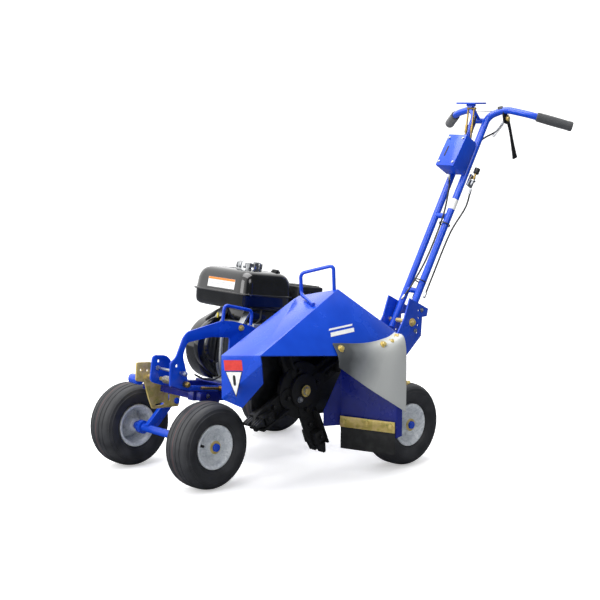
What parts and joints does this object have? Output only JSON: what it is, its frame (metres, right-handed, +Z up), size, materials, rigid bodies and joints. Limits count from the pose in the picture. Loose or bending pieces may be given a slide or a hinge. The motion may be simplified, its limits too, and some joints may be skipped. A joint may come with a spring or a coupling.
{
  "type": "walk-behind bed edger",
  "caption": "Walk-behind edging machine with a side rotor under a faceted hood, an engine on a welded frame, wheels and an upright handle.",
  "frame": {"origin": "on the ground under the centre of the footprint", "axes": "+X towards the operator and the handle, +Y towards the engine side, +Z up"},
  "size_m": [1.6742, 0.8004, 1.1853],
  "materials": {
    "blue_paint": "gloss powder coat, royal blue",
    "deep_blue": "gloss powder coat, royal blue in shade",
    "blue_case": "gloss royal blue case",
    "engine_black": "gloss black",
    "engine_black_metal": "black stove paint",
    "cast_black": "matt black paint",
    "black_steel": "satin black",
    "tyre": "black rubber, ribbed tread",
    "rim_grey": "satin grey paint",
    "yellow_zinc": "yellow zinc passivate",
    "bright_steel": "bright steel",
    "cast_alloy": "cast alloy",
    "sheet_rubber": "reinforced rubber sheet, dusty grey",
    "black_rubber": "black rubber",
    "grip": "foam rubber grip, charcoal",
    "plastic": "black plastic"
  },
  "bodies": {
    "chassis": {"frame": "deep_blue", "engine_deck": "deep_blue", "arch_plate": "blue_paint", "lock_ear": "blue_paint", "lock_shelf": "deep_blue", "lift_handle_front": "blue_paint", "lift_handle_rear": "blue_paint", "rotor_hood": "blue_paint", "chamber_side": "deep_blue", "rear_wall": "deep_blue", "skirt_clamp_strip": "yellow_zinc", "rear_skirt": "black_rubber", "discharge_flap": "sheet_rubber", "rotor_bearing": "cast_alloy", "rear_axle": "blue_paint", "engine_crankcase": "cast_alloy", "engine_cylinder": "cast_alloy", "fan_housing": "engine_black", "recoil_cover": "engine_black", "fuel_tank": "engine_black", "tank_stay": "engine_black", "muffler": "engine_black_metal", "air_cleaner": "engine_black", "spark_lead": "plastic", "drive_belt": "black_rubber", "bracket_near": "blue_paint", "bracket_far": "blue_paint"},
    "rotor": {"rotor_arms": "cast_black", "rotor_shaft": "bright_steel", "rotor_pulley": "cast_alloy"},
    "crank": {"crank_shaft": "bright_steel", "drive_pulley": "cast_alloy"},
    "front_axle_group": {"front_axle": "blue_paint", "lock_plate": "yellow_zinc", "stop_stub": "blue_paint"},
    "lock_pin_slide": {"lock_pin": "yellow_zinc"},
    "recoil_slide": {"recoil_grip": "plastic"},
    "fuel_cap_turn": {"fuel_cap": "bright_steel"},
    "handle": {"handle_frame": "blue_paint", "grip_near": "grip", "grip_far": "grip", "control_box": "blue_case", "throttle_bracket": "black_steel", "cable_engage": "plastic", "cable_throttle": "plastic", "cable_release": "plastic"},
    "throttle_slide": {"throttle_knob": "plastic"},
    "release_lever_pivot": {"release_lever": "black_steel"},
    "engage_bail_pivot": {"engage_bail": "blue_paint"},
    "front_near_wheel": {"front_near_tyre": "tyre", "front_near_rim": "rim_grey"},
    "front_far_wheel": {"front_far_tyre": "tyre", "front_far_rim": "rim_grey"},
    "rear_near_wheel": {"rear_near_tyre": "tyre", "rear_near_rim": "rim_grey"},
    "rear_far_wheel": {"rear_far_tyre": "tyre", "rear_far_rim": "rim_grey"}
  },
  "joints": [
    {"name": "rotor_spin", "type": "hinge", "parent": "chassis", "child": "rotor", "pos_m": [-0.39424, -0.15276, 0.28334], "axis": [0, 1, 0], "continuous": true},
    {"name": "crank_spin", "type": "hinge", "parent": "chassis", "child": "crank", "pos_m": [-0.32096, 0.00724, 0.37255], "axis": [0, 1, 0], "continuous": true},
    {"name": "depth_swing", "type": "hinge", "parent": "chassis", "child": "front_axle_group", "pos_m": [-0.60846, 0.14724, 0.22139], "axis": [0, 1, 0], "range_deg": [0, 40]},
    {"name": "front_near_spin", "type": "hinge", "parent": "front_axle_group", "child": "front_near_wheel", "pos_m": [-0.70024, -0.05276, 0.13684], "axis": [0, 1, 0], "continuous": true},
    {"name": "front_far_spin", "type": "hinge", "parent": "front_axle_group", "child": "front_far_wheel", "pos_m": [-0.70024, 0.34424, 0.13684], "axis": [0, 1, 0], "continuous": true},
    {"name": "rear_near_spin", "type": "hinge", "parent": "chassis", "child": "rear_near_wheel", "pos_m": [-0.04274, -0.27476, 0.13684], "axis": [0, 1, 0], "continuous": true},
    {"name": "rear_far_spin", "type": "hinge", "parent": "chassis", "child": "rear_far_wheel", "pos_m": [-0.04274, 0.34724, 0.13684], "axis": [0, 1, 0], "continuous": true},
    {"name": "lock_pin_pull", "type": "slide", "parent": "chassis", "child": "lock_pin_slide", "axis": [0, -1, 0], "range_m": [0, 0.011], "stiffness_N_per_m": 600, "springref_m": -0.005},
    {"name": "recoil_pull", "type": "slide", "parent": "chassis", "child": "recoil_slide", "axis": [0, 1, 0], "range_m": [0, 0.3], "stiffness_N_per_m": 15, "springref_m": -0.15},
    {"name": "fuel_cap_twist", "type": "hinge", "parent": "chassis", "child": "fuel_cap_turn", "pos_m": [-0.31051, 0.18224, 0.63186], "axis": [0.1478, 0, 0.989], "range_deg": [0, 90]},
    {"name": "handle_height", "type": "hinge", "parent": "chassis", "child": "handle", "pos_m": [0.22976, -0.02276, 0.41934], "axis": [0, 1, 0], "range_deg": [-20, 20]},
    {"name": "throttle_pull", "type": "slide", "parent": "handle", "child": "throttle_slide", "axis": [0.5171, 0, 0.8559], "range_m": [0, 0.02]},
    {"name": "release_squeeze", "type": "hinge", "parent": "handle", "child": "release_lever_pivot", "pos_m": [0.70176, -0.10276, 1.13734], "axis": [0, -1, 0], "range_deg": [0, 22], "stiffness_Nm_per_rad": 1.5, "springref_deg": -17.19},
    {"name": "engage_press", "type": "hinge", "parent": "handle", "child": "engage_bail_pivot", "pos_m": [0.59976, -0.02276, 1.17534], "axis": [0, 1, 0], "range_deg": [0, 25], "stiffness_Nm_per_rad": 1.5, "springref_deg": -17.19}
  ],
  "couplings": [
    {"joint": "crank_spin", "follows": "rotor_spin", "ratio": 2.1228},
    {"joint": "lock_pin_pull", "follows": "release_squeeze", "m_per_rad": 0.0286}
  ]
}
